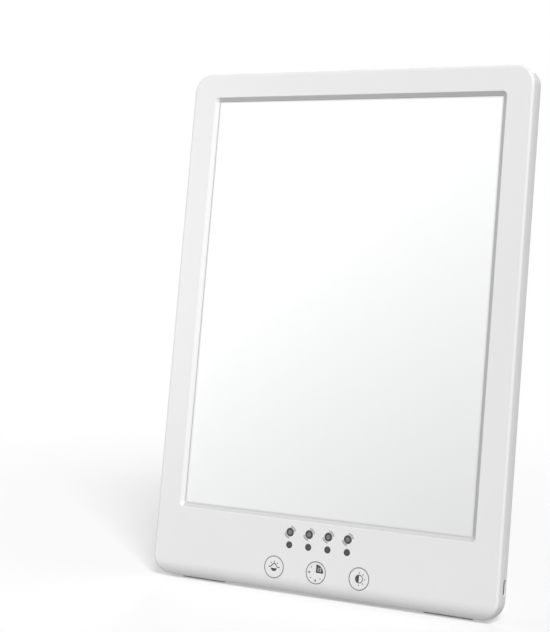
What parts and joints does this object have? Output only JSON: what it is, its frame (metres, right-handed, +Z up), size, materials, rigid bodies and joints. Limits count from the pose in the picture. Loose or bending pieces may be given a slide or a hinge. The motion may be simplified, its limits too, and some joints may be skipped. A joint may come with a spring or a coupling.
{
  "type": "light therapy lamp",
  "caption": "Thin upright light therapy panel with an opal screen, a touch control band, a side power inlet and a fold-out rear leg.",
  "frame": {"origin": "bottom centre of the standing lamp, on the surface it stands on, leg opened", "axes": "+Z up; -Y the way the lit screen faces; +X to the right seen from the front"},
  "size_m": [0.23, 0.0718, 0.3125],
  "materials": {
    "shell_white": "satin white moulding",
    "cover_white": "fine-grained white moulding",
    "opal_screen": "opal white acrylic, evenly lit from behind",
    "clear_guide": "clear acrylic",
    "white_film": "white reflecting film",
    "bare_aluminium": "bare sheet",
    "board_white": "white printed circuit board",
    "board_green": "green printed circuit board",
    "black_part": "moulded black component",
    "connector_cream": "connector housing and flat lead",
    "foam_grey": "conductive foam",
    "smoke_lens": "smoked clear light pipe",
    "steel": "plain steel",
    "black_plastic": "black insulator",
    "grey_rubber": "soft grey rubber",
    "leg_white": "fine-grained white moulding"
  },
  "bodies": {
    "panel": {"back_cover": "cover_white", "backing_plate": "bare_aluminium", "connector_left": "connector_cream", "connector_right": "connector_cream", "control_board": "board_green", "controller_chip": "black_part", "diffuser": "opal_screen", "driver_capacitor": "black_part", "driver_coil": "black_part", "foot_left": "grey_rubber", "foot_right": "grey_rubber", "front_frame": "shell_white", "hinge_pin_left": "steel", "hinge_pin_right": "steel", "hinge_washer_left": "steel", "hinge_washer_right": "steel", "housing_screws": "steel", "lead_left": "connector_cream", "lead_right": "connector_cream", "light_guide": "clear_guide", "port_shell": "steel", "port_tongue": "black_plastic", "reflector_sheet": "white_film", "strip_left": "board_white", "strip_right": "board_white", "timer_lens_1": "smoke_lens", "timer_lens_2": "smoke_lens", "timer_lens_3": "smoke_lens", "timer_lens_4": "smoke_lens", "touch_pad_left": "foam_grey", "touch_pad_middle": "foam_grey", "touch_pad_right": "foam_grey"},
    "stand": {"stand_leg": "leg_white", "stand_tip": "grey_rubber"}
  },
  "joints": [
    {"name": "stand_hinge", "type": "hinge", "parent": "panel", "child": "stand", "pos_m": [0, 0.00223, 0.14786], "axis": [1, 0, 0], "range_deg": [-22, 0]}
  ]
}
